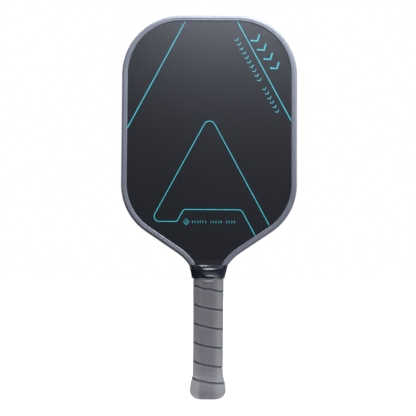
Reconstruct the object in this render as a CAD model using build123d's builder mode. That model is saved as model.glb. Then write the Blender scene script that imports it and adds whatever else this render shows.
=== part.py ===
from build123d import *
import os
from math import cos, radians, sin, sqrt

# Pickleball paddle, standing on its butt end. Millimetres. +Z runs up the handle and the head,
# +X across the head, and the front hitting face looks along -Y. The origin is the middle of
# the flat butt end.

# Overall size
paddle_length = 417
paddle_width = 191.5
board_thickness = 16

# Edge guard, a U-shaped channel round the head
guard_wall = 1.5
guard_lip = 1.2
guard_lip_reach = 4.4
guard_crown_radius = 2.2
guard_end_z = 137

# Head outline, measured on the board's own edge inside the guard
corner_radius = 63.5
shoulder_radius = 61
shoulder_z = 231.5
shoulder_angle = 56
throat_radius = 51
tongue_half = 10.9

# Layers of the board
sheet_thickness = 0.6
foam_width = 6
core_bottom_z = 153
cell_flats = 8
cell_wall = 0.35
cell_columns = 25
cell_rows = 32

# Handle pallets, one half shell on each side of the board's tongue
handle_floor_z = 4
pallet_half_width = 14.6
pallet_half_depth = 12.5
pallet_chamfer = 5.7
pallet_corner_round = 3
pallet_side_top_z = 127
pallet_block_top_z = 136.8
ramp_start_z = 133.5
ramp_end_z = 149
ramp_gap = 0.2

# Grip, and the flare that it follows down to the butt
grip_half_width = 16.3
grip_half_depth = 14.2
grip_chamfer = 6.4
grip_corner_round = 3
grip_thickness = 1.65
grip_bottom_z = 2.3
grip_top_z = 131
flare_growth = 3.3
flare_z = 9.4
flare_mid_z = 16
flare_mid_share = 0.7
flare_top_z = 30
butt_round = 9.4
butt_round_steps = 9

# Butt cap and its two staples
cap_clearance = 0.05
cap_top_z = 22
staple_wire = 0.5
staple_crown = 9
staple_leg = 5
staple_z = 16
staple_face_y = 14.65

# Finishing tape round the grip's top end
tape_thickness = 0.2
tape_gap = 0.05
tape_bottom_z = 129.8
tape_top_z = 133.8

# Collar: half width, half depth and corner radius at each level, outside and inside
collar_levels = [129.5, 134, 143.5]
collar_outer = [(18.1, 16, 8.5), (19.4, 16, 8.5), (21.9, 11.8, 4.5)]
collar_inner = [(16.7, 14.6, 8), (18.2, 14.6, 8), (21.1, 10.4, 3.5)]

# Worked-out sizes
board_half_width = paddle_width / 2 - guard_wall
board_top_z = paddle_length - guard_wall
board_half = board_thickness / 2
core_half = board_half - sheet_thickness
guard_half = board_half + guard_lip
turn = radians(shoulder_angle)
shoulder_foot_x = board_half_width - shoulder_radius * (1 - cos(turn))
throat_head_x = tongue_half + throat_radius * (1 - cos(turn))
taper_drop = (shoulder_foot_x - throat_head_x) * cos(turn) / sin(turn)
throat_z = shoulder_z - (shoulder_radius + throat_radius) * sin(turn) - taper_drop


def board_outline(grow, bottom_z):
    """The board's outline grown outwards by grow, cut off straight at bottom_z."""
    side = board_half_width + grow
    top = board_top_z + grow
    corner = corner_radius + grow
    shoulder = shoulder_radius + grow
    throat = throat_radius - grow
    tongue = tongue_half + grow
    with BuildSketch() as outline:
        with BuildLine():
            Line((0, top), (side - corner, top))
            CenterArc((side - corner, top - corner), corner, 90, -90)
            Line((side, top - corner), (side, shoulder_z))
            bend = CenterArc((side - shoulder, shoulder_z), shoulder, 0, -shoulder_angle)
            neck = CenterArc((tongue + throat, throat_z), throat, 180, -shoulder_angle)
            Line(bend @ 1, neck @ 1)
            Line((tongue, throat_z), (tongue, bottom_z))
            Line((tongue, bottom_z), (0, bottom_z))
            mirror(about=Plane.YZ)
        make_face()
    return outline.sketch


def handle_section(z, offset):
    """The grip's softened octagonal section at height z, offset outwards from its usual size."""
    half_width = grip_half_width + offset
    with BuildSketch(Plane.XY.offset(z)) as section:
        Rectangle(2 * half_width, 2 * (grip_half_depth + offset))
        chamfer(section.vertices(), grip_chamfer + offset * (2 - sqrt(2)))
        fillet(section.vertices(), grip_corner_round * half_width / grip_half_width)
    return section.sketch


def handle_form(inset):
    """The grip's outer form, flared and rounded at the butt, drawn in all over by inset."""
    radius = butt_round - inset
    sections = []
    for step in range(butt_round_steps + 1):
        rise = radians(90 * step / butt_round_steps)
        offset = flare_growth - inset - radius * (1 - sin(rise))
        sections.append(handle_section(flare_z - radius * cos(rise), offset))
    sections.append(handle_section(flare_mid_z, flare_growth * flare_mid_share - inset))
    sections.append(handle_section(flare_top_z, -inset))
    with BuildPart() as form:
        loft(sections, ruled=True)
        extrude(sections[-1], amount=grip_top_z - flare_top_z)
    return form.part


def pallet_outline(z):
    """The octagonal section that the two pallets make together, at height z."""
    with BuildSketch(Plane.XY.offset(z)) as section:
        Rectangle(2 * pallet_half_width, 2 * pallet_half_depth)
        chamfer(section.vertices(), pallet_chamfer)
        fillet(section.vertices(), pallet_corner_round)
    return section.sketch


def collar_form(sizes):
    """A solid of the collar's form through its three levels."""
    with BuildPart() as form:
        for z, (half_width, half_depth, corner) in zip(collar_levels, sizes):
            with BuildSketch(Plane.XY.offset(z)):
                RectangleRounded(2 * half_width, 2 * half_depth, corner)
        loft(ruled=True)
    return form.part


# Hitting faces: one carbon sheet each side, running down inside the handle as a tongue
with BuildPart() as front_face_sheet:
    with BuildSketch(Plane.XZ.offset(core_half)):
        add(board_outline(0, handle_floor_z))
    extrude(amount=sheet_thickness)

with BuildPart() as back_face_sheet:
    add(front_face_sheet.part)
    mirror(about=Plane.XZ, mode=Mode.REPLACE)

# Foam between the sheets in the throat and the tongue
with BuildPart() as handle_core_foam:
    with BuildSketch(Plane.XZ.offset(-core_half)):
        add(board_outline(0, handle_floor_z))
    extrude(amount=2 * core_half)
    split(bisect_by=Plane.XY.offset(core_bottom_z), keep=Keep.BOTTOM)

# The honeycomb's own outline, inside the foam strip and cut off straight above the throat
with BuildSketch() as honeycomb_area:
    add(board_outline(-foam_width, handle_floor_z))
    with Locations((0, core_bottom_z)):
        Rectangle(
            paddle_width, paddle_length, align=(Align.CENTER, Align.MIN), mode=Mode.INTERSECT
        )

# Foam strip round the honeycomb, open at the throat
with BuildPart() as perimeter_foam:
    with BuildSketch(Plane.XZ.offset(-core_half)):
        add(board_outline(0, handle_floor_z))
        add(board_outline(-foam_width, handle_floor_z), mode=Mode.SUBTRACT)
    extrude(amount=2 * core_half)
    split(bisect_by=Plane.XY.offset(core_bottom_z), keep=Keep.TOP)

# Honeycomb: a plate pierced by each hexagonal cell that fits whole inside its outline
cell_margin = cell_flats / sqrt(3) + cell_wall
honeycomb_edge = honeycomb_area.sketch.face().outer_wire()
head_middle_z = (board_top_z + core_bottom_z) / 2
cell_grid = HexLocations((cell_flats + cell_wall) / 2, cell_columns, cell_rows)
cell_places = []
for spot in cell_grid.local_locations:
    place = spot.position + Vector(0, head_middle_z)
    inside = honeycomb_area.sketch.face().is_inside(place)
    if inside and honeycomb_edge.distance_to(place) > cell_margin:
        cell_places.append(place)
with BuildPart() as honeycomb_core:
    with BuildSketch(Plane.XZ.offset(-core_half)):
        add(honeycomb_area.sketch)
        with Locations(cell_places):
            RegularPolygon(cell_flats / 2, 6, major_radius=False, mode=Mode.SUBTRACT)
    extrude(amount=2 * core_half)

# Edge guard: a channel round the board's edge, with a crowned outside and short lips
with BuildPart() as edge_guard:
    with BuildSketch(Plane.XZ.offset(-guard_half)):
        add(board_outline(guard_wall, handle_floor_z))
    extrude(amount=2 * guard_half)
    split(bisect_by=Plane.XY.offset(guard_end_z), keep=Keep.TOP)
    crown = edge_guard.faces().filter_by(Axis.Y).edges()
    fillet(crown.filter_by_position(Axis.Z, guard_end_z + 1, paddle_length), guard_crown_radius)
    with BuildSketch(Plane.XZ.offset(-board_half)):
        add(board_outline(0, handle_floor_z))
    extrude(amount=board_thickness, mode=Mode.SUBTRACT)
    with BuildSketch(Plane.XZ.offset(-guard_half)):
        add(board_outline(-guard_lip_reach, handle_floor_z))
    extrude(amount=2 * guard_half, mode=Mode.SUBTRACT)

# Two staples that hold the butt cap to the pallets, front and back, under the grip
with BuildPart() as butt_cap_staples:
    with Locations((0, staple_wire / 2 - staple_face_y, staple_z)):
        Box(staple_crown, staple_wire, staple_wire)
    leg_x = (staple_crown - staple_wire) / 2
    with Locations((-leg_x, -staple_face_y, staple_z), (leg_x, -staple_face_y, staple_z)):
        Box(
            staple_wire, staple_leg, staple_wire, align=(Align.CENTER, Align.MIN, Align.CENTER)
        )
    mirror(about=Plane.XZ)

# Front pallet: half an octagonal handle round the tongue, with a ramp up to the hitting face
with BuildPart() as front_handle_pallet:
    extrude(pallet_outline(handle_floor_z), amount=pallet_block_top_z - handle_floor_z)
    with BuildSketch(Plane.XZ.offset(-board_half)):
        add(board_outline(0, 0))
    extrude(amount=board_thickness, mode=Mode.SUBTRACT)
    with BuildSketch(Plane.XY.offset(pallet_side_top_z)):
        Rectangle(paddle_width, board_thickness)
    extrude(amount=paddle_length, mode=Mode.SUBTRACT)
    with BuildSketch(Plane.XZ.offset(board_half)):
        add(board_outline(-guard_lip_reach - ramp_gap, handle_floor_z))
        with Locations((0, pallet_block_top_z)):
            Rectangle(
                paddle_width,
                ramp_end_z - pallet_block_top_z,
                align=(Align.CENTER, Align.MIN),
                mode=Mode.INTERSECT,
            )
    extrude(amount=pallet_half_depth - board_half)
    with BuildSketch(Plane.YZ):
        with BuildLine():
            Polyline(
                (-pallet_half_depth, ramp_start_z),
                (-board_half, ramp_end_z),
                (-board_half, paddle_length),
                (-paddle_width, paddle_length),
                (-paddle_width, ramp_start_z),
                close=True,
            )
        make_face()
    extrude(amount=paddle_width, both=True, mode=Mode.SUBTRACT)
    split(bisect_by=Plane.XZ, keep=Keep.TOP)
    add(butt_cap_staples.part, mode=Mode.SUBTRACT)

with BuildPart() as back_handle_pallet:
    add(front_handle_pallet.part)
    mirror(about=Plane.XZ, mode=Mode.REPLACE)

# Grip wrap, as the plain sleeve that its turns fill
with BuildPart() as grip_wrap:
    add(handle_form(0))
    split(bisect_by=Plane.XY.offset(grip_bottom_z), keep=Keep.TOP)
    add(handle_form(grip_thickness), mode=Mode.SUBTRACT)

# Butt cap: a bare rim at the bottom, and a flared cup that the grip covers
with BuildPart() as cap_cup:
    add(handle_form(grip_thickness + cap_clearance))
    split(bisect_by=Plane.XY.offset(cap_top_z), keep=Keep.BOTTOM)
with BuildPart() as butt_cap:
    add(handle_form(0))
    split(bisect_by=Plane.XY.offset(grip_bottom_z - cap_clearance), keep=Keep.BOTTOM)
    add(cap_cup.part)
    extrude(pallet_outline(handle_floor_z), amount=cap_top_z, mode=Mode.SUBTRACT)
    add(butt_cap_staples.part, mode=Mode.SUBTRACT)

# Finishing tape over the grip's top end
with BuildPart() as finishing_tape:
    extrude(
        handle_section(tape_bottom_z, tape_gap + tape_thickness),
        amount=tape_top_z - tape_bottom_z,
    )
    extrude(
        handle_section(tape_bottom_z, tape_gap),
        amount=tape_top_z - tape_bottom_z,
        mode=Mode.SUBTRACT,
    )

# Collar: a rubber ring stretched from the grip's end up over the guard's two ends
with BuildPart() as collar:
    add(collar_form(collar_outer))
    add(collar_form(collar_inner), mode=Mode.SUBTRACT)

pieces = {
    "front_face_sheet": front_face_sheet,
    "back_face_sheet": back_face_sheet,
    "honeycomb_core": honeycomb_core,
    "perimeter_foam": perimeter_foam,
    "handle_core_foam": handle_core_foam,
    "edge_guard": edge_guard,
    "front_handle_pallet": front_handle_pallet,
    "back_handle_pallet": back_handle_pallet,
    "butt_cap": butt_cap,
    "butt_cap_staples": butt_cap_staples,
    "grip_wrap": grip_wrap,
    "finishing_tape": finishing_tape,
    "collar": collar,
}
os.makedirs("parts", exist_ok=True)
for name, piece in pieces.items():
    piece.part.label = name
    export_step(piece.part, f"parts/{name}.step")
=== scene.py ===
import bpy
from bisect import bisect_right
from math import acos, atan2, cos, degrees, exp, hypot, pi, radians, sin, sqrt, tan
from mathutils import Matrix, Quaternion, Vector, noise


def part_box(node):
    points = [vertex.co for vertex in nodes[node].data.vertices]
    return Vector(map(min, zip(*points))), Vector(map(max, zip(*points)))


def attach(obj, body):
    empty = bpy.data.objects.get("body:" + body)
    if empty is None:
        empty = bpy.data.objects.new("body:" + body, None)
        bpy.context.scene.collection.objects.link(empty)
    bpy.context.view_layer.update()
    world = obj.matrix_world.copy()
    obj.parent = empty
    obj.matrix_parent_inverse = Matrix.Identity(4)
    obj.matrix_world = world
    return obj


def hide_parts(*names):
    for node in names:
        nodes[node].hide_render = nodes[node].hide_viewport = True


# Pickleball paddle, standing on its butt end: +Z up, front hitting face towards -Y, in metres.

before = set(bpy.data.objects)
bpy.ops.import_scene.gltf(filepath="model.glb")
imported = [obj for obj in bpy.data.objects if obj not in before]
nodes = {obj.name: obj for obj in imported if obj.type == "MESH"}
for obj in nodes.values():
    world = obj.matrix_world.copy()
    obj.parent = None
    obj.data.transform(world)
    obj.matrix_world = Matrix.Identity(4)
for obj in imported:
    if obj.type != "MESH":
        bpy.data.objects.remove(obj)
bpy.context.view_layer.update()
MM = 0.001


# ---------------------------------------------------------------- sizes taken from the frame

guard_low, guard_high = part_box("edge_guard")
face_low, face_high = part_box("front_face_sheet")
grip_low, grip_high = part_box("grip_wrap")
cap_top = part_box("butt_cap")[1].z

board_half = -face_low.y
side_x = face_high.x
top_z = face_high.z
guard_wall = guard_high.x - side_x
guard_lip = guard_high.y - board_half

# The board's outline: radii and heights of its arcs
corner_radius = 63.5 * MM
shoulder_radius = 61 * MM
shoulder_z = 231.5 * MM
shoulder_turn = radians(56)
throat_radius = 51 * MM
tongue_half = 10.9 * MM

# The handle's octagonal section, outside the grip
grip_half_width = 16.3 * MM
grip_half_depth = 14.2 * MM
grip_chamfer = 6.4 * MM
grip_corner = 3.6 * MM
grip_thickness = 1.65 * MM
EVEN_CHAMFER = 0.586  # growth of the chamfer that keeps an outset octagon's sides even
flare_growth = grip_high.x - grip_half_width
flare_top_z = 30 * MM

# The rounding under the flare, which reaches in a little further than it rises
butt_round = 9.4 * MM
butt_reach = 10.8 * MM

# The grip strip's winding, in millimetres up its side: the turns over the flare lie closer
FIRST_SEAM = 14.9
PITCH_BELOW_FIRST = 32
SECOND_SEAM = 31.76
FIRST_PITCH = 16.86
SEAM_PITCH = 20.2
SEAM_SAG = 0.8
WRINKLE_HEIGHT = 26
seam_gap = 0.05 * MM

# The collar, in millimetres: heights above the butt end, and half sizes
COLLAR_FOOT = 129.4
COLLAR_STRAIGHT = 129.5
COLLAR_BEND = 139.2
COLLAR_RISE = 14
COLLAR_HALF_WIDTH = 17.45
COLLAR_SPREAD = 3.4
COLLAR_HALF_DEPTH = 15.75
COLLAR_SIDE_WALL = 0.95
COLLAR_FRONT_WALL = 1.3
LEAN_BELOW_BEND = 0.03
LEAN_ABOVE_BEND = 0.35


# ---------------------------------------------------------------- modelling helpers

def clear_selection():
    """Leave edit mode and deselect everything."""
    if bpy.context.object and bpy.context.object.mode != "OBJECT":
        bpy.ops.object.mode_set(mode="OBJECT")
    bpy.ops.object.select_all(action="DESELECT")


def pick(piece):
    """Make one piece the only selected and active object."""
    clear_selection()
    piece.select_set(True)
    bpy.context.view_layer.objects.active = piece


def named(name):
    """Name the object just added, and its data."""
    piece = bpy.context.object
    piece.name = name
    piece.data.name = name
    return piece


def finish_mesh(piece, smooth_angle=35):
    """Merge doubles, turn the faces outwards, put the place in the mesh and shade it smooth."""
    pick(piece)
    bpy.ops.object.transform_apply(location=True, rotation=True, scale=True)
    bpy.ops.object.mode_set(mode="EDIT")
    bpy.ops.mesh.select_all(action="SELECT")
    bpy.ops.mesh.remove_doubles(threshold=1e-6)
    bpy.ops.mesh.normals_make_consistent(inside=False)
    bpy.ops.object.mode_set(mode="OBJECT")
    bpy.ops.object.shade_smooth_by_angle(angle=radians(smooth_angle))


def arc(centre, radius, start, end, steps):
    """Points on an arc of a flat drawing, angles in degrees."""
    points = []
    for step in range(steps + 1):
        angle = radians(start + (end - start) * step / steps)
        points.append((centre[0] + radius * cos(angle), centre[1] + radius * sin(angle)))
    return points


def draw_curve(name, points, closed=False):
    """A curve through flat points on the drawing board."""
    data = bpy.data.curves.new(name, "CURVE")
    data.dimensions = "3D"
    data.twist_mode = "Z_UP"
    spline = data.splines.new("POLY")
    spline.points.add(len(points) - 1)
    for spot, (x, y) in zip(spline.points, points):
        spot.co = (x, y, 0, 1)
    spline.use_cyclic_u = closed
    curve = bpy.data.objects.new(name, data)
    bpy.context.scene.collection.objects.link(curve)
    return curve


def sweep(name, path, profile, closed=False):
    """A solid of one profile carried along one path, stood up from the drawing board."""
    rail = draw_curve(name, path, closed)
    section = draw_curve(name + "_section", profile, closed=True)
    section.data.dimensions = "2D"
    rail.data.bevel_mode = "OBJECT"
    rail.data.bevel_object = section
    rail.data.use_fill_caps = True
    pick(rail)
    bpy.ops.object.convert(target="MESH")
    piece = named(name)
    bpy.data.objects.remove(section)
    piece.rotation_euler = (pi / 2, 0, 0)
    return piece


# ---------------------------------------------------------------- edge guard

def board_edge(start_z):
    """The board's outline from the front, from the right throat over the top to the left."""
    foot = shoulder_turn
    taper_drop = (side_x - shoulder_radius * (1 - cos(foot))) - (
        tongue_half + throat_radius * (1 - cos(foot))
    )
    throat_z = (
        shoulder_z - (shoulder_radius + throat_radius) * sin(foot) - taper_drop / tan(foot)
    )
    throat_start = degrees(sin_to_angle((start_z - throat_z) / throat_radius))
    turn = degrees(foot)
    throat_centre = (tongue_half + throat_radius, throat_z)
    shoulder_centre = (side_x - shoulder_radius, shoulder_z)
    corner_centre = (side_x - corner_radius, top_z - corner_radius)
    half = arc(throat_centre, throat_radius, 180 - throat_start, 180 - turn, 16)
    half += arc(shoulder_centre, shoulder_radius, -turn, 0, 28)
    half += arc(corner_centre, corner_radius, 0, 90, 44)
    return half + [(-x, z) for x, z in reversed(half)]


def sin_to_angle(value):
    """The angle whose sine is value."""
    return atan2(value, sqrt(1 - value * value))


def guard_profile():
    """Section of the guard: outwards is +x, from the board's edge, and depth is y.

    The lip starts with a rounded nose, dips a little in the middle and ends in a round crown.
    """
    depth = board_half + guard_lip
    crown = 3.3 * MM
    lip_x = -4.9 * MM
    nose = 1.5 * MM
    valley = 0.17 * MM
    foot = 0.05 * MM
    nose_drop = 0.02 * MM
    lip_nose = []
    for step in range(10):
        turn = pi / 2 * step / 9
        rise = board_half + foot + (guard_lip - foot - nose_drop) * sin(turn)
        lip_nose.append((lip_x + nose * (1 - cos(turn)), -rise))
    dip = []
    dip_start = lip_x + nose
    dip_end = guard_wall - crown
    for step in range(1, 8):
        share = step / 8
        low = valley * (1 - cos(2 * pi * share)) / 2 + nose_drop * (1 - share)
        dip.append((dip_start + (dip_end - dip_start) * share, low - depth))
    outer = arc((dip_end, crown - depth), crown, -90, 0, 9)
    front = [(lip_x, -board_half)] + lip_nose + dip + outer
    back = [(x, -y) for x, y in reversed(front)]
    inner = [(0, board_half), (0, -board_half)]
    return front + back + inner


edge_guard = sweep("edge_guard_strip", board_edge(guard_low.z), guard_profile())
finish_mesh(edge_guard, smooth_angle=50)
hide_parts("edge_guard")
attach(edge_guard, "root")


# ---------------------------------------------------------------- octagonal rings of the handle

def octagon_ring(half_width, half_depth, chamfer, corner, count):
    """Points and outward directions, evenly spaced round a softened octagon, clockwise from +X."""
    flat_x = half_width - chamfer
    flat_y = half_depth - chamfer
    corners = [
        (half_width, -flat_y),
        (flat_x, -half_depth),
        (-flat_x, -half_depth),
        (-half_width, -flat_y),
        (-half_width, flat_y),
        (-flat_x, half_depth),
        (flat_x, half_depth),
        (half_width, flat_y),
    ]
    cut = corner * tan(pi / 8)
    runs = []
    heading = Vector((0, -1))
    for index, spot in enumerate(corners):
        here = Vector(spot)
        after = Vector(corners[(index + 1) % 8])
        next_heading = (after - here).normalized()
        outward = Vector((-heading.y, heading.x))
        centre = here - heading * cut - outward * corner
        runs.append((centre, outward, corner * pi / 4))
        start = here + next_heading * cut
        runs.append((start, None, (after - next_heading * cut - start).length))
        heading = next_heading
    total = sum(run[2] for run in runs)
    ring = []
    for step in range(count):
        distance = (step * total / count - flat_y + cut) % total
        index = 0
        while distance > runs[index][2]:
            distance -= runs[index][2]
            index += 1
        centre, outward = runs[index][:2]
        if outward is None:
            outward = runs[(index + 1) % 16][1]
            along = Vector((outward.y, -outward.x))
            ring.append((centre + along * distance, outward))
        else:
            turn = atan2(outward.y, outward.x) - distance / corner
            outward = Vector((cos(turn), sin(turn)))
            ring.append((centre + outward * corner, outward))
    return ring, total


def bell(distance, width):
    """A smooth hump, 1 in the middle."""
    return exp(-((distance / width) ** 2))


# ---------------------------------------------------------------- grip, one strip wound in a helix

GRIP_STEPS = 144
GRIP_ROWS = 26
grip_ring, grip_girth = octagon_ring(
    grip_half_width, grip_half_depth, grip_chamfer, grip_corner, GRIP_STEPS
)


def grip_meridian():
    """Heights and outward growth up the side of the grip, with the length along it."""
    start = acos(1 - grip_low.z / butt_round)
    line = []
    for step in range(31):
        rise = start + (pi / 2 - start) * step / 30
        line.append((butt_round * (1 - cos(rise)), flare_growth - butt_reach * (1 - sin(rise))))
    for step in range(1, 61):
        share = step / 60
        ease = share * share * (3 - 2 * share)
        rise = butt_round + (flare_top_z - butt_round) * share
        line.append((rise, flare_growth * (1 - ease)))
    line.append((grip_high.z, 0))
    lengths = [0]
    for (z0, grow0), (z1, grow1) in zip(line, line[1:]):
        lengths.append(lengths[-1] + hypot(z1 - z0, grow1 - grow0))
    return line, lengths


meridian, meridian_lengths = grip_meridian()
grip_run = meridian_lengths[-1]


def meridian_at(length):
    """Height, growth and outward direction (radial, vertical) at a length up the meridian."""
    length = min(max(length, 0), grip_run)
    index = min(bisect_right(meridian_lengths, length), len(meridian) - 1)
    z0, grow0 = meridian[index - 1]
    z1, grow1 = meridian[index]
    step = meridian_lengths[index] - meridian_lengths[index - 1]
    share = (length - meridian_lengths[index - 1]) / step
    direction = ((z1 - z0) / step, (grow0 - grow1) / step)
    return z0 + (z1 - z0) * share, grow0 + (grow1 - grow0) * share, direction


def seam_height(turns):
    """Length up the meridian of the strip's lower edge, after some turns of winding."""
    if turns < 0:
        height = FIRST_SEAM + PITCH_BELOW_FIRST * turns
    elif turns < 1:
        height = FIRST_SEAM + FIRST_PITCH * turns
    else:
        height = SECOND_SEAM + SEAM_PITCH * (turns - 1)
    height -= SEAM_SAG * cos(4 * pi * (turns - 0.25))
    height += 0.35 * noise.noise(Vector((turns * 5, 0, 3)))
    height += 0.5 * bell(turns - 5.3, 0.14) * sin(turns * 40)
    return height * MM


def strip_depth(from_low, from_high, turns):
    """How far the strip's skin lies below its full thickness near its edges, a little more in one
    loose stretch of the last turn."""
    wide = 1 + 0.55 * bell(turns - 5.22, 0.1)
    low = 0.9 * bell(from_low, 0.55 * wide) - 0.14 * bell(from_low - 1.3, 0.7)
    high = 1.0 * bell(from_high, 1.15 * wide) - 0.07 * bell(from_high - 2.7, 0.9)
    return (low + high) * MM


def grip_crease(spot, height):
    """Small outward swells: wrinkles over the flare, a crescent under the collar, uneven pull."""
    front = 1 if spot.y < 0 else 0
    across = spot.x / MM - 1
    up = height / MM
    wrinkle = noise.noise(Vector((spot.x * 55, spot.y * 55, height * 430)))
    pull = noise.noise(Vector((spot.x * 90, spot.y * 90, height * 150)))
    swell = 0.34 * wrinkle * bell(up - WRINKLE_HEIGHT, 7) + 0.1 * pull
    bow = 126 + 0.035 * across ** 2
    swell += 0.5 * front * bell(up - bow, 1.0) * bell(across, 8)
    swell -= 0.3 * front * bell(up - bow - 2.2, 1.2) * bell(across, 8)
    return swell * MM


def painted_grip_highlights(spot, height, from_low, from_high):
    """Painted highlights on the strip: along its pressed edges, on its wrinkles, and in a crescent
    near its top.
    """
    front = 1 if spot.y < 0 else 0
    across = spot.x / MM
    up = height / MM
    bow = 126.7 + 0.037 * (across + 0.6) ** 2
    highlight_share = 0.72 * front * bell(up - bow, 1.2) * bell(across - 1, 9)
    highlight_share += 0.35 * bell(from_high - 3.1, 1.0) + 0.2 * bell(from_low - 1.7, 0.8)
    wrinkle = noise.noise(Vector((spot.x * 60 + 9, spot.y * 60, height * 850)))
    highlight_share += max(0, wrinkle - 0.1) * bell(up - WRINKLE_HEIGHT, 6)
    return min(1, highlight_share)


def make_grip():
    """A flat strip marked out by the helix, cut level at its ends, given thickness and wound on.

    The seam attribute is 1 in the dark of a seam, a dark joint with painted shade in its groove,
    and below 0 where a highlight is painted on the strip.
    """
    first_turn = -2
    last_turn = 6
    columns = GRIP_STEPS * (last_turn - first_turn)
    rows_to_edges = 0.12
    clear_selection()
    bpy.ops.mesh.primitive_grid_add(x_subdivisions=columns, y_subdivisions=GRIP_ROWS, size=1)
    strip = named("grip_strip")
    for vertex in strip.data.vertices:
        turns = first_turn + (vertex.co.x + 0.5) * (last_turn - first_turn)
        share = vertex.co.y + 0.5
        share -= rows_to_edges * sin(2 * pi * share)
        low = seam_height(turns)
        high = seam_height(turns + 1) - seam_gap
        vertex.co = (turns * grip_girth, low + (high - low) * share, 0)
    pick(strip)
    bpy.ops.object.mode_set(mode="EDIT")
    bpy.ops.mesh.select_all(action="SELECT")
    bpy.ops.mesh.bisect(plane_co=(0, 0, 0), plane_no=(0, 1, 0), clear_inner=True)
    bpy.ops.mesh.select_all(action="SELECT")
    bpy.ops.mesh.bisect(plane_co=(0, grip_run, 0), plane_no=(0, 1, 0), clear_outer=True)
    bpy.ops.mesh.select_all(action="SELECT")
    bpy.ops.mesh.extrude_region_move(
        TRANSFORM_OT_translate={"value": (0, 0, seam_gap - grip_thickness)}
    )
    bpy.ops.object.mode_set(mode="OBJECT")
    seam_shade_and_highlights = strip.data.attributes.new("seam", "FLOAT", "POINT")
    for vertex in strip.data.vertices:
        turns = vertex.co.x / grip_girth
        run = vertex.co.y
        from_low = (run - seam_height(turns)) / MM
        from_high = (seam_height(turns + 1) - run) / MM
        z, growth, direction = meridian_at(run)
        column = turns % 1 * GRIP_STEPS
        near = int(column)
        share = column - near
        spot_a, out_a = grip_ring[near % GRIP_STEPS]
        spot_b, out_b = grip_ring[(near + 1) % GRIP_STEPS]
        spot = spot_a.lerp(spot_b, share)
        outward = out_a.lerp(out_b, share).normalized()
        lift = vertex.co.z
        if lift > -0.5 * grip_thickness:
            lift = grip_crease(spot, z) - strip_depth(from_low, from_high, turns)
            # Dark seam joints, with painted shade for the groove's occlusion on top
            dark = min(1, bell(from_low, 1.15) + bell(from_high, 2.2))
            # Painted highlights along the edges, on the wrinkles and in the crescent, stored below
            # zero
            pale = (1 - dark) * painted_grip_highlights(spot, z, from_low, from_high)
            seam_shade_and_highlights.data[vertex.index].value = dark - pale
        radial = growth + lift * direction[0]
        vertex.co = (
            spot.x + outward.x * radial,
            spot.y + outward.y * radial,
            z + lift * direction[1],
        )
    finish_mesh(strip, smooth_angle=60)
    return strip


grip_strip = make_grip()
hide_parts("grip_wrap")
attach(grip_strip, "root")


# ---------------------------------------------------------------- collar

def make_ring(name, profile, count, shape_at):
    """A ring from a torus: each circle of its tube takes the profile's heights and widths."""
    clear_selection()
    bpy.ops.mesh.primitive_torus_add(
        major_segments=count, minor_segments=len(profile), major_radius=1, minor_radius=0.25
    )
    ring = named(name)
    outlines = [shape_at(*level, count) for level in profile]
    for vertex in ring.data.vertices:
        around = atan2(vertex.co.y, vertex.co.x)
        reach = hypot(vertex.co.x, vertex.co.y) - 1
        across = atan2(vertex.co.z, reach)
        step = round(-around / (2 * pi) * count) % count
        level = round(across / (2 * pi) * len(profile)) % len(profile)
        vertex.co = outlines[level][step]
    finish_mesh(ring, smooth_angle=50)
    return ring


def collar_lean(z, width):
    """How far the collar's front has leant in at a height: nearly upright, then at 20 degrees.

    The width is the height, in millimetres, over which it bends.
    """
    rise = (z - COLLAR_BEND) / width + 0.5
    if rise < 0:
        turned = 0
    elif rise < 1:
        turned = rise ** 3 - rise ** 4 / 2
    else:
        turned = rise - 0.5
    return LEAN_BELOW_BEND * (z - COLLAR_FOOT) + LEAN_ABOVE_BEND * width * turned


def collar_shape(z, grow, inner, count, sharp_bend=2.5):
    """One level of the collar: its rounded oblong widens from the grip's section to the board's.

    The front and back lean in with a soft bend in the middle and a sharp one at the corners, and
    the stretched lower edge rides up in the middle.
    """
    share = max(0, (z - COLLAR_STRAIGHT) / COLLAR_RISE)
    half_width = (COLLAR_HALF_WIDTH + COLLAR_SPREAD * share ** 0.85 + 0.4 * grow) * MM
    half_depth = (COLLAR_HALF_DEPTH - collar_lean(z, sharp_bend)) * MM
    power = 2.7 + 1.5 * share
    if inner:
        half_width -= (COLLAR_SIDE_WALL - 0.5 * share) * MM
        half_depth -= COLLAR_FRONT_WALL * MM
    level = []
    for step in range(count):
        turn = -2 * pi * step / count
        reach = abs(cos(turn) / half_width) ** power + abs(sin(turn) / half_depth) ** power
        reach = reach ** (-1 / power)
        x = reach * cos(turn)
        y = reach * sin(turn)
        facing = y / half_depth
        if not inner:
            swell = 1 + 0.005 * noise.noise(Vector((x * 75, y * 75, z / 5)))
            climb = min(1, max(0, (z - 130.5) / 6))
            full = 0.015 + 0.08 * climb * climb * (3 - 2 * climb)
            bulge = 1 + full * (1 - min(1, abs(x) / half_width) ** 2)
            soft = 1.5 + 4 * bell(x / MM - 0.5, 6.5)
            bend = collar_lean(z, sharp_bend) - collar_lean(z, soft)
            patch = 0.5 * bell(x / MM + 10, 3.5) * bell(z - 143.2, 0.7) if y < 0 else 0
            grown = grow * (0.3 + 0.7 * bell(x / MM - 1.5, 9)) + bend + patch
            x = x * swell
            y = y * swell * bulge + facing * grown * MM
        near_foot = max(0, 1 - (z - COLLAR_FOOT) / 7) ** 1.5
        ride = 1.9 * near_foot * bell(x / MM, 9.5) * facing * facing
        x -= 0.35 * MM * (1 - share) ** 3
        level.append((x, y, (z + ride) * MM))
    return level


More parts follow.
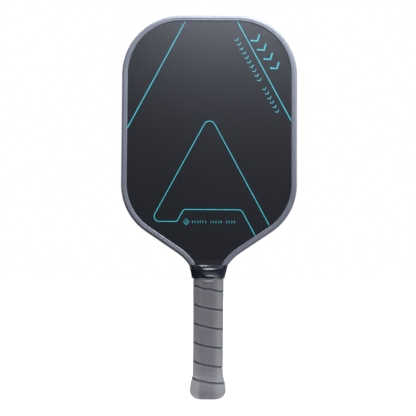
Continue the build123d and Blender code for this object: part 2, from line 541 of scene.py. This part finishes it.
# Levels (height, growth, inner) from the middle of the outside over the rim, down the inside,
# under the lower edge and over the rolled lip to the middle again
wall_heights = (135.6, 136.4, 137.2, 137.8, 138.4, 139.0, 139.6, 140.2, 141.0, 141.8, 142.6)
collar_profile = [(height, 0.0, False) for height in wall_heights]
collar_profile += [
    (143.2, -0.02, False),
    (143.5, -0.12, False),
    (143.65, -0.3, False),
    (143.7, -0.5, False),
    (143.6, -0.1, True),
    (143.2, -0.05, True),
    (141.0, -0.05, True),
    (138.0, -0.05, True),
    (135.0, 0.0, True),
    (132.0, 0.0, True),
    (130.2, 0.0, True),
    (129.6, 0.1, True),
    (129.45, 0.4, True),
    (129.4, -0.35, False),
    (129.45, -0.1, False),
    (129.65, 0.12, False),
    (130.0, 0.36, False),
    (130.4, 0.56, False),
    (130.8, 0.62, False),
    (131.15, 0.52, False),
    (131.45, 0.3, False),
    (131.7, 0.1, False),
    (132.1, 0.0, False),
    (133.0, 0.0, False),
    (134.4, 0.0, False),
]
collar_ring = make_ring("collar_ring", collar_profile, 128, collar_shape)
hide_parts("collar")
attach(collar_ring, "root")


# ---------------------------------------------------------------- butt cap

def butt_arc(rise):
    """Height and growth on the rounding under the flare, at an angle up from the floor."""
    turn = radians(rise)
    return butt_round * (1 - cos(turn)), flare_growth - butt_reach * (1 - sin(turn))


def cap_profile():
    """Rings (scale, growth, height) of the cap from under its middle, up the outside, over the top
    and down the cavity."""
    clearance = 0.06 * MM
    cavity = -1.66 * MM
    cavity_floor = 4 * MM
    rim_rise = degrees(acos(1 - (grip_low.z - clearance) / butt_round))
    skirt = grip_thickness + clearance
    rings = [(scale, 0, 0.9 * MM) for scale in (0.08, 0.2, 0.34, 0.4)]
    rings += [(0.42, 0, 0.82 * MM), (0.435, 0, 0.4 * MM), (0.44, 0, 0.12 * MM)]
    rings += [(0.452, 0, 0.02 * MM), (0.47, 0, 0), (0.54, 0, 0)]
    for step in range(10):
        z, growth = butt_arc(rim_rise * step / 9)
        rings.append((1, growth, z))
    rings.append((1, rings[-1][1] - 0.35 * MM, grip_low.z - 0.02 * MM))
    for step in range(1, 16):
        z, growth = meridian_at(meridian_at_z(cap_top) * step / 15)[:2]
        rings.append((1, growth - skirt, max(z, grip_low.z + 0.04 * MM)))
    top = rings[-1]
    rings.append((1, top[1] - 0.25 * MM, top[2] + 0.2 * MM))
    rings += [(1, cavity + 0.04 * MM, top[2] + 0.2 * MM), (1, cavity, top[2])]
    rings += [(1, cavity, 12 * MM), (1, cavity, 5 * MM), (1, cavity - 0.24 * MM, 4.1 * MM)]
    rings += [(scale, 0, cavity_floor) for scale in (0.8, 0.5, 0.2)]
    return rings


def meridian_at_z(z):
    """Length up the meridian at a height."""
    index = next(i for i, spot in enumerate(meridian) if spot[0] >= z)
    return meridian_lengths[index]


def make_cap():
    """A cup from a sphere: each of its levels takes one ring of the cap."""
    count = 96
    rings = cap_profile()
    clear_selection()
    bpy.ops.mesh.primitive_uv_sphere_add(segments=count, ring_count=len(rings) + 1, radius=1)
    cap = named("butt_cap_shell")
    outlines = []
    for scale, growth, z in rings:
        ring = octagon_ring(
            grip_half_width * scale + growth,
            grip_half_depth * scale + growth,
            (grip_chamfer + EVEN_CHAMFER * growth) * scale,
            (grip_corner + 0.5 * max(growth, -4 * MM)) * scale,
            count,
        )[0]
        outlines.append([(run[0].x, run[0].y, z) for run in ring])
    for vertex in cap.data.vertices:
        climb = acos(max(-1, min(1, -vertex.co.z)))
        level = round(climb / pi * (len(rings) + 1)) - 1
        if level < 0:
            vertex.co = (0, 0, rings[0][2])
        elif level >= len(rings):
            vertex.co = (0, 0, rings[-1][2])
        else:
            around = atan2(vertex.co.y, vertex.co.x)
            vertex.co = outlines[level][round(-around / (2 * pi) * count) % count]
    finish_mesh(cap, smooth_angle=40)
    return cap


cap_shell = make_cap()
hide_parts("butt_cap")
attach(cap_shell, "root")


# ---------------------------------------------------------------- printed line art

LINE = 0.95  # millimetres wide
SLANT = radians(61.6)


def chevron_row(start, drop, groups, pitch, half, width):
    """Chevrons in groups, a space apart, along a line that drops at an angle."""
    run = Vector((cos(radians(drop)), -sin(radians(drop))))
    up = Vector((-run.y, run.x))
    row = []
    place = Vector(start) + run * pitch * 0.15
    for group in groups:
        for _ in range(group):
            tip = place + run * half * 0.8
            row.append(([tuple(place + up * half), tuple(tip), tuple(place - up * half)], width))
            place = place + run * pitch
        place = place + run * pitch
    return row


def rounded_path(corners, radii, steps=8):
    """A line through corners, with each corner turned on its own radius."""
    path = [corners[0]]
    for index in range(1, len(corners) - 1):
        here = Vector(corners[index])
        back = (Vector(corners[index - 1]) - here).normalized()
        ahead = (Vector(corners[index + 1]) - here).normalized()
        opening = back.angle(ahead)
        radius = radii[index - 1]
        cut = radius / tan(opening / 2)
        middle = here + (back + ahead).normalized() * (radius / sin(opening / 2))
        start = here + back * cut - middle
        sweep_angle = pi - opening
        if back.cross(ahead) > 0:
            sweep_angle = -sweep_angle
        for step in range(steps + 1):
            turn = sweep_angle * step / steps
            spun = Vector(
                (
                    start.x * cos(turn) - start.y * sin(turn),
                    start.x * sin(turn) + start.y * cos(turn),
                )
            )
            path.append(tuple(middle + spun))
    path.append(corners[-1])
    return path


def art_strokes():
    """Every printed stroke of one face, as (points, width), in millimetres."""
    strokes = []
    run = 1 / tan(SLANT)
    top = 411
    strokes.append(([(-26.5, top), (-26.5 - (top - 291.5) * 0.529, 291.5)], LINE))
    strokes.append(([(30, top), (30 + (top - 298.5) * 0.5395, 298.5)], LINE))
    apex_z = 307.6
    leg = [
        (0.3 + (apex_z - 187.2) * run, 187.2),
        (0.3, apex_z),
        (0.3 - (apex_z - 190.7) * run, 190.7),
        (-34.5, 190.7),
        (-27.4, 203.8),
        (35.2, 203.8),
        (35.2 + (203.8 - 175.4) * run, 175.4),
    ]
    strokes.append((rounded_path(leg, [6.5, 5.5, 3, 3, 6]), 0.85 * LINE))
    strokes += chevron_row((48.6, 394.4), 55, (4,), 12.4, 5.8, 1.6)
    strokes += chevron_row((28.8, 391.8), 60.6, (10, 6), 5.66, 2.3, 0.85)
    strokes += chevron_row((-18.6, 190.4), 0, (6, 5, 4), 2.85, 1.3, 0.42)
    for half in (3.4, 1.5):
        diamond = [(-24.4, 190.4 - half), (-24.4 + half, 190.4), (-24.4, 190.4 + half)]
        diamond += [(-24.4 - half, 190.4), (-24.4, 190.4 - half)]
        strokes.append((diamond, 0.45))
    return strokes


def make_art(name, back):
    """All strokes of one face, a film of ink thick, joined to one piece."""
    film = 0.03 * MM
    sunk = 0.005 * MM
    ribbons = []
    for points, width in art_strokes():
        half = width * MM / 2
        profile = [
            (-half, board_half - sunk),
            (half, board_half - sunk),
            (half, board_half + film),
            (-half, board_half + film),
        ]
        path = [(x * MM, z * MM) for x, z in points]
        ribbons.append(sweep(name, path, profile))
    clear_selection()
    for ribbon in ribbons:
        ribbon.select_set(True)
    bpy.context.view_layer.objects.active = ribbons[0]
    bpy.ops.object.join()
    art = named(name)
    finish_mesh(art, smooth_angle=30)
    if back:
        for vertex in art.data.vertices:
            vertex.co = (-vertex.co.x, -vertex.co.y, vertex.co.z)
    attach(art, "root")
    return art


front_art = make_art("front_line_print", back=False)
back_art = make_art("back_line_print", back=True)


# ---------------------------------------------------------------- material helpers

def new_finish(name, roughness, specular=0.5):
    """A material with its surface shader, and a coordinate node in the paddle's own frame."""
    finish = bpy.data.materials.new(name)
    finish.use_nodes = True
    tree = finish.node_tree
    surface = tree.nodes["Principled BSDF"]
    surface.inputs["Roughness"].default_value = roughness
    surface.inputs["Specular IOR Level"].default_value = specular
    place = tree.nodes.new("ShaderNodeTexCoord").outputs["Object"]
    return finish, tree, surface, place


def put(tree, socket, value):
    """Link a value that is a node's output, or set it on the socket."""
    if isinstance(value, bpy.types.NodeSocket):
        tree.links.new(value, socket)
    else:
        socket.default_value = value


def maths(tree, operation, first, second=0.0, third=0.0):
    """One sum of two or three values."""
    node = tree.nodes.new("ShaderNodeMath")
    node.operation = operation
    for socket, value in zip(node.inputs, (first, second, third)):
        put(tree, socket, value)
    return node.outputs[0]


def stretched(tree, place, scale, turn=(0, 0, 0)):
    """The coordinates turned and scaled, for a grain that runs one way."""
    node = tree.nodes.new("ShaderNodeMapping")
    node.inputs["Scale"].default_value = scale
    node.inputs["Rotation"].default_value = turn
    put(tree, node.inputs["Vector"], place)
    return node.outputs[0]


def grain(tree, vector, scale, detail=2, roughness=0.5):
    """Noise from 0 to 1."""
    node = tree.nodes.new("ShaderNodeTexNoise")
    node.inputs["Scale"].default_value = scale
    node.inputs["Detail"].default_value = detail
    node.inputs["Roughness"].default_value = roughness
    put(tree, node.inputs["Vector"], vector)
    return node.outputs["Fac"]


def ramp(tree, value, low, high, start=0.0, end=1.0):
    """A value spread smoothly between two others."""
    node = tree.nodes.new("ShaderNodeMapRange")
    node.interpolation_type = "SMOOTHSTEP"
    for name, number in (
        ("Value", value),
        ("From Min", low),
        ("From Max", high),
        ("To Min", start),
        ("To Max", end),
    ):
        put(tree, node.inputs[name], number)
    return node.outputs["Result"]


def blend_colour(tree, share, first, second):
    """A colour between two colours."""
    node = tree.nodes.new("ShaderNodeMix")
    node.data_type = "RGBA"
    put(tree, node.inputs["Factor"], share)
    for socket, colour in ((node.inputs["A"], first), (node.inputs["B"], second)):
        if isinstance(colour, tuple):
            colour = (*colour, 1)
        put(tree, socket, colour)
    return node.outputs["Result"]


def parts_of(tree, vector):
    """The X, Y and Z of a vector, by name."""
    node = tree.nodes.new("ShaderNodeSeparateXYZ")
    put(tree, node.inputs[0], vector)
    return node.outputs


def raise_grain(tree, surface, height, distance, strength=1.0):
    """Bump on the surface."""
    node = tree.nodes.new("ShaderNodeBump")
    node.inputs["Distance"].default_value = distance
    node.inputs["Strength"].default_value = strength
    put(tree, node.inputs["Height"], height)
    put(tree, surface.inputs["Normal"], node.outputs[0])


def colour_in(tree, surface, colour):
    """Set the surface's colour."""
    if isinstance(colour, tuple):
        colour = (*colour, 1)
    put(tree, surface.inputs["Base Color"], colour)


# ---------------------------------------------------------------- finishes

def woven_carbon():
    """Raw carbon face: a fine plain weave under a satin peel-ply texture with upright streaks."""
    finish, tree, surface, place = new_finish("woven_carbon_face", 0.42, 0.5)
    surface.inputs["Specular Tint"].default_value = (0.93, 0.915, 1, 1)
    spot = parts_of(tree, place)
    tow_pair = 2.2 * MM
    pitch = 2 * pi / tow_pair
    warp = maths(tree, "SINE", maths(tree, "MULTIPLY", spot["X"], pitch))
    weft = maths(tree, "SINE", maths(tree, "MULTIPLY", spot["Z"], pitch))
    weave = maths(tree, "MULTIPLY", warp, weft)
    streaks = grain(tree, stretched(tree, place, (1, 1, 0.045)), 900, 3, 0.6)
    blotch = grain(tree, stretched(tree, place, (1, 1, 0.35)), 28, 2)
    specks = grain(tree, place, 2600, 2)
    shade = maths(tree, "MULTIPLY_ADD", weave, 0.06, 0.5)
    shade = maths(tree, "ADD", shade, maths(tree, "MULTIPLY_ADD", streaks, 0.7, -0.35))
    shade = maths(tree, "ADD", shade, maths(tree, "MULTIPLY_ADD", blotch, 0.3, -0.15))
    tone = blend_colour(tree, shade, (0.003, 0.003, 0.0038), (0.0085, 0.0086, 0.0105))
    colour_in(tree, surface, tone)
    rough = maths(tree, "MULTIPLY_ADD", streaks, 0.05, 0.235)
    put(tree, surface.inputs["Roughness"], rough)
    height = maths(tree, "MULTIPLY_ADD", weave, 0.35, specks)
    height = maths(tree, "ADD", height, maths(tree, "MULTIPLY", streaks, 0.3))
    raise_grain(tree, surface, height, 0.012 * MM)
    return finish


def guard_moulding():
    """Blue-grey satin plastic with fine diagonal draw lines, with painted shade darkening it
    towards the throat.
    """
    finish, tree, surface, place = new_finish("guard_satin_plastic", 0.34, 0.55)
    slanted = stretched(tree, place, (1, 0.25, 0.25), (0, radians(35), 0))
    lines = grain(tree, slanted, 750, 3, 0.6)
    cloud = grain(tree, place, 45, 2)
    specks = grain(tree, place, 3000, 1)
    share = maths(tree, "MULTIPLY_ADD", lines, 0.7, -0.1)
    share = maths(tree, "ADD", share, maths(tree, "MULTIPLY", cloud, 0.4))
    tone = blend_colour(tree, share, (0.09, 0.096, 0.118), (0.182, 0.19, 0.22))
    # Painted shade: the guard's colour darkens towards the throat, where the light from above falls
    # off
    painted_throat_shade = ramp(tree, parts_of(tree, place)["Z"], 190 * MM, 410 * MM, 0.34, 0.0)
    colour_in(tree, surface, blend_colour(tree, painted_throat_shade, tone, (0, 0, 0)))
    height = maths(tree, "MULTIPLY_ADD", lines, 1.0, maths(tree, "MULTIPLY", specks, 0.4))
    raise_grain(tree, surface, height, 0.03 * MM)
    return finish


def cushion_grip():
    """Matte violet-grey polymer strip: fine leathery grain, dark seams deepened by painted shade,
    painted highlights, and sides paler from painted side light.
    """
    finish, tree, surface, place = new_finish("cushion_grip_strip", 0.68, 0.35)
    pores = tree.nodes.new("ShaderNodeTexVoronoi")
    pores.inputs["Scale"].default_value = 1500
    put(tree, pores.inputs["Vector"], place)
    fine = grain(tree, place, 1900, 3)
    cloud = grain(tree, stretched(tree, place, (1, 1, 0.6)), 110, 3)
    pull = grain(tree, stretched(tree, place, (0.12, 0.12, 1)), 900, 2)
    seam = tree.nodes.new("ShaderNodeAttribute")
    seam.attribute_name = "seam"
    share = maths(tree, "MULTIPLY_ADD", cloud, 0.8, -0.15)
    share = maths(tree, "ADD", share, maths(tree, "MULTIPLY", fine, 0.3))
    share = maths(tree, "ADD", share, maths(tree, "MULTIPLY_ADD", pull, 0.25, -0.12))
    tone = blend_colour(tree, share, (0.07, 0.064, 0.07), (0.11, 0.101, 0.108))
    spot = parts_of(tree, place)
    # Painted side light: the grip's sides painted paler where the side lamps would light them, the
    # left more than the right
    painted_side_light = ramp(tree, spot["X"], -7 * MM, -13 * MM, 0.0, 0.95)
    painted_side_light = maths(tree, "ADD", painted_side_light, ramp(tree, spot["X"], 3.5 * MM, 11 * MM, 0.0, 0.42))
    tone = blend_colour(tree, painted_side_light, tone, (0.19, 0.182, 0.178))
    # The grip's colour darkens towards its top
    darker_towards_top = ramp(tree, spot["Z"], 20 * MM, 125 * MM, 0.04, 0.24)
    tone = blend_colour(tree, darker_towards_top, tone, (0.035, 0.033, 0.034))
    # Painted highlights: where the seam attribute is below zero the strip is painted paler
    pale = ramp(tree, maths(tree, "MULTIPLY", seam.outputs["Fac"], -1), 0.05, 1.0, 0.0, 0.6)
    tone = blend_colour(tree, pale, tone, (0.44, 0.42, 0.43))
    # Dark seam joints, darkened further by painted shade in their grooves
    dark = ramp(tree, seam.outputs["Fac"], 0.15, 1.1)
    colour_in(tree, surface, blend_colour(tree, dark, tone, (0.032, 0.029, 0.036)))
    height = maths(tree, "MULTIPLY_ADD", pores.outputs["Distance"], 0.7, fine)
    height = maths(tree, "ADD", height, maths(tree, "MULTIPLY", pull, 0.5))
    raise_grain(tree, surface, height, 0.06 * MM)
    surface.inputs["Sheen Weight"].default_value = 0.12
    surface.inputs["Sheen Roughness"].default_value = 0.5
    return finish


def glossy_rubber():
    """Black collar rubber with soft streaks, glossy down its middle and dull at its sides."""
    finish, tree, surface, place = new_finish("collar_gloss_rubber", 0.22, 0.5)
    streaks = grain(tree, stretched(tree, place, (0.25, 0.25, 1)), 420, 3)
    cloud = grain(tree, place, 120, 2)
    put(tree, surface.inputs["Roughness"], ramp(tree, cloud, 0.3, 0.7, 0.1, 0.22))
    spot = parts_of(tree, place)
    middle = ramp(tree, spot["Z"], 132 * MM, 137 * MM, 5 * MM, -0.5 * MM)
    rim = ramp(tree, spot["Z"], 141.5 * MM, 143 * MM, 0.0, 8.5 * MM)
    middle = maths(tree, "SUBTRACT", middle, rim)
    aside = maths(tree, "ABSOLUTE", maths(tree, "SUBTRACT", spot["X"], middle))
    sides = ramp(tree, aside, 3.5 * MM, 10.5 * MM, 0.8, 0.06)
    put(tree, surface.inputs["Specular IOR Level"], sides)
    share = maths(tree, "MULTIPLY", maths(tree, "ADD", streaks, cloud), 0.5)
    tone = blend_colour(tree, share, (0.002, 0.0022, 0.0035), (0.016, 0.018, 0.027))
    colour_in(tree, surface, tone)
    raise_grain(tree, surface, maths(tree, "ADD", streaks, cloud), 0.03 * MM)
    return finish


def moulded_black(name, roughness, ribs, gloss):
    """Satin black moulding with faint level tool marks."""
    finish, tree, surface, place = new_finish(name, roughness, gloss)
    marks = grain(tree, stretched(tree, place, (0.1, 0.1, 1)), ribs, 3, 0.6)
    specks = grain(tree, place, 2400, 2)
    share = maths(tree, "MULTIPLY_ADD", marks, 0.8, maths(tree, "MULTIPLY", specks, 0.3))
    tone = blend_colour(tree, share, (0.0015, 0.0015, 0.002), (0.006, 0.006, 0.008))
    colour_in(tree, surface, tone)
    raise_grain(tree, surface, maths(tree, "MULTIPLY_ADD", marks, 1.2, specks), 0.03 * MM)
    return finish


def foam_cells(name, light, dark, scale):
    """Expanded foam with small closed cells."""
    finish, tree, surface, place = new_finish(name, 0.8, 0.3)
    cells = tree.nodes.new("ShaderNodeTexVoronoi")
    cells.inputs["Scale"].default_value = scale
    put(tree, cells.inputs["Vector"], place)
    patches = grain(tree, place, 60, 2)
    share = maths(tree, "MULTIPLY_ADD", cells.outputs["Distance"], 0.6, patches)
    colour_in(tree, surface, blend_colour(tree, share, dark, light))
    raise_grain(tree, surface, cells.outputs["Distance"], 0.2 * MM)
    return finish


def milky_core():
    """Natural polypropylene honeycomb, slightly see-through."""
    finish, tree, surface, place = new_finish("honeycomb_polymer", 0.45, 0.4)
    flow = grain(tree, stretched(tree, place, (1, 0.2, 1)), 500, 2)
    colour_in(tree, surface, blend_colour(tree, flow, (0.72, 0.74, 0.73), (0.86, 0.87, 0.86)))
    surface.inputs["Subsurface Weight"].default_value = 0.2
    surface.inputs["Subsurface Scale"].default_value = 1.5 * MM
    raise_grain(tree, surface, flow, 0.05 * MM)
    return finish


def drawn_wire():
    """Bright steel staple wire with drawing marks along it."""
    finish, tree, surface, place = new_finish("staple_wire_steel", 0.3, 0.5)
    marks = grain(tree, stretched(tree, place, (0.1, 1, 1)), 4000, 2)
    surface.inputs["Metallic"].default_value = 1
    colour_in(tree, surface, blend_colour(tree, marks, (0.48, 0.48, 0.5), (0.66, 0.66, 0.68)))
    raise_grain(tree, surface, marks, 0.02 * MM)
    return finish


def printed_ink():
    """Teal pad-printed ink over the weave, a little uneven."""
    finish, tree, surface, place = new_finish("teal_line_ink", 0.4, 0.5)
    patches = grain(tree, place, 700, 3)
    share = ramp(tree, patches, 0.25, 0.75)
    colour_in(tree, surface, blend_colour(tree, share, (0.014, 0.3, 0.335), (0.024, 0.39, 0.43)))
    raise_grain(tree, surface, patches, 0.02 * MM)
    return finish


def paint(piece, finish):
    """Give a piece one finish."""
    piece.data.materials.clear()
    piece.data.materials.append(finish)
    for polygon in piece.data.polygons:
        polygon.material_index = 0


carbon = woven_carbon()
guard_plastic = guard_moulding()
grip_finish = cushion_grip()
rubber = glossy_rubber()
pallet_black = moulded_black("pallet_satin_black", 0.5, 700, 0.07)
cap_black = moulded_black("butt_cap_satin_black", 0.4, 300, 0.4)
tape_black = moulded_black("finishing_tape_vinyl", 0.28, 200, 0.5)
edge_foam = foam_cells("perimeter_foam_cells", (0.78, 0.74, 0.62), (0.6, 0.56, 0.46), 900)
handle_foam = foam_cells("handle_foam_cells", (0.86, 0.84, 0.76), (0.7, 0.67, 0.58), 600)
core_polymer = milky_core()
staple_steel = drawn_wire()
ink = printed_ink()

paint(edge_guard, guard_plastic)
paint(grip_strip, grip_finish)
paint(collar_ring, rubber)
paint(cap_shell, cap_black)
paint(front_art, ink)
paint(back_art, ink)
node_finishes = {
    "front_face_sheet": carbon,
    "back_face_sheet": carbon,
    "honeycomb_core": core_polymer,
    "perimeter_foam": edge_foam,
    "handle_core_foam": handle_foam,
    "edge_guard": guard_plastic,
    "front_handle_pallet": pallet_black,
    "back_handle_pallet": pallet_black,
    "butt_cap": cap_black,
    "butt_cap_staples": staple_steel,
    "grip_wrap": grip_finish,
    "finishing_tape": tape_black,
    "collar": rubber,
}
for node_name, node_finish in node_finishes.items():
    node_object = nodes[node_name]
    if node_object.data.materials:
        node_object.data.materials[0] = node_finish
    else:
        node_object.data.materials.append(node_finish)


# ---------------------------------------------------------------- floor, light and camera

COOL = (0.86, 0.92, 1.0)


def make_floor():
    """A plain pale floor that the paddle stands on."""
    clear_selection()
    bpy.ops.mesh.primitive_plane_add(size=12, location=(0, 0, -0.0002))
    floor = named("studio_floor")
    finish, tree, surface, place = new_finish("studio_floor_paint", 0.9, 0.1)
    mottle = grain(tree, place, 3, 1)
    colour_in(tree, surface, blend_colour(tree, mottle, (0.88, 0.88, 0.88), (0.9, 0.9, 0.9)))
    surface.inputs["Emission Color"].default_value = (1, 1, 1, 1)
    surface.inputs["Emission Strength"].default_value = 0.93
    floor.data.materials.append(finish)
    floor.visible_diffuse = False
    floor.visible_glossy = False


def add_panel(name, place, aim, width, height, power, roll=0):
    """A soft cool rectangular light, aimed at a point and turned about its own axis."""
    data = bpy.data.lights.new(name, "AREA")
    data.shape = "RECTANGLE"
    data.size = width
    data.size_y = height
    data.energy = power
    data.color = COOL
    light = bpy.data.objects.new(name, data)
    bpy.context.scene.collection.objects.link(light)
    light.location = place
    turn = (Vector(aim) - Vector(place)).to_track_quat("-Z", "Y")
    turn = turn @ Quaternion((0, 0, 1), radians(roll))
    light.rotation_euler = turn.to_euler()
    return light


def light_world():
    """White surroundings, dimmer as a light than as a background."""
    world = bpy.data.worlds.new("studio_surroundings")
    bpy.context.scene.world = world
    world.use_nodes = True
    tree = world.node_tree
    tree.nodes.clear()
    seen = tree.nodes.new("ShaderNodeBackground")
    seen.inputs["Strength"].default_value = 1.0
    glow = tree.nodes.new("ShaderNodeBackground")
    glow.inputs["Strength"].default_value = 0.1
    path = tree.nodes.new("ShaderNodeLightPath")
    mix = tree.nodes.new("ShaderNodeMixShader")
    out = tree.nodes.new("ShaderNodeOutputWorld")
    tree.links.new(path.outputs["Is Camera Ray"], mix.inputs[0])
    tree.links.new(glow.outputs[0], mix.inputs[1])
    tree.links.new(seen.outputs[0], mix.inputs[2])
    tree.links.new(mix.outputs[0], out.inputs["Surface"])
    seen.inputs["Color"].default_value = (1, 1, 1, 1)
    glow.inputs["Color"].default_value = (0.95, 0.97, 1, 1)


def make_camera():
    """The viewing angle: square to the front face, a little below its middle, slightly rolled."""
    data = bpy.data.cameras.new("studio_camera")
    data.lens = 79.2
    data.sensor_width = 36
    data.clip_end = 50
    camera = bpy.data.objects.new("studio_camera", data)
    bpy.context.scene.collection.objects.link(camera)
    shift = Vector((-0.00088, 0, -0.00255))
    place = Vector((0, -0.9984, 0.1522)) + shift
    aim = Vector((0, 0, 0.2085)) + shift
    turn = (aim - place).to_track_quat("-Z", "Y")
    roll = Quaternion((0, 0, 1), radians(0.3185))
    camera.rotation_mode = "QUATERNION"
    camera.location = place
    camera.rotation_quaternion = turn @ roll
    bpy.context.scene.camera = camera


make_floor()
light_world()
# Two panels on the floor, not seen themselves, stand for the light that a white table throws up
for panel in (
    add_panel("floor_bounce", (0.45, 0, 0.0004), (0.45, 0.001, 1), 1.1, 1.4, 3.6),
    add_panel("butt_bounce", (0, 0, 0.0005), (0, 0.001, 1), 0.16, 0.16, 0.09),
):
    panel.visible_camera = False
add_panel("key_above_front", (0.56, -2.0, 1.38), (0, 0, 0.3), 1.7, 0.5, 36, roll=10)
add_panel("overhead_box", (0.25, -0.4, 1.6), (0, 0, 0.35), 1.3, 1.0, 60)
add_panel("right_box", (1.5, -1.2, 1.2), (0, 0, 0.3), 0.6, 1.1, 28)
add_panel("left_box", (-1.3, -1.35, 0.3), (0, 0, 0.1), 0.5, 0.8, 3)
add_panel("back_box", (0.3, 2.0, 1.3), (0, 0, 0.3), 1.7, 0.6, 30)
add_panel("back_left_box", (-1.6, 0.9, 0.5), (0, 0, 0.2), 0.6, 1.2, 10)
add_panel("back_right_box", (1.6, 0.9, 0.5), (0, 0, 0.2), 0.6, 1.2, 11)
make_camera()
bpy.context.scene.view_settings.view_transform = "Standard"
bpy.context.scene.view_settings.look = "None"
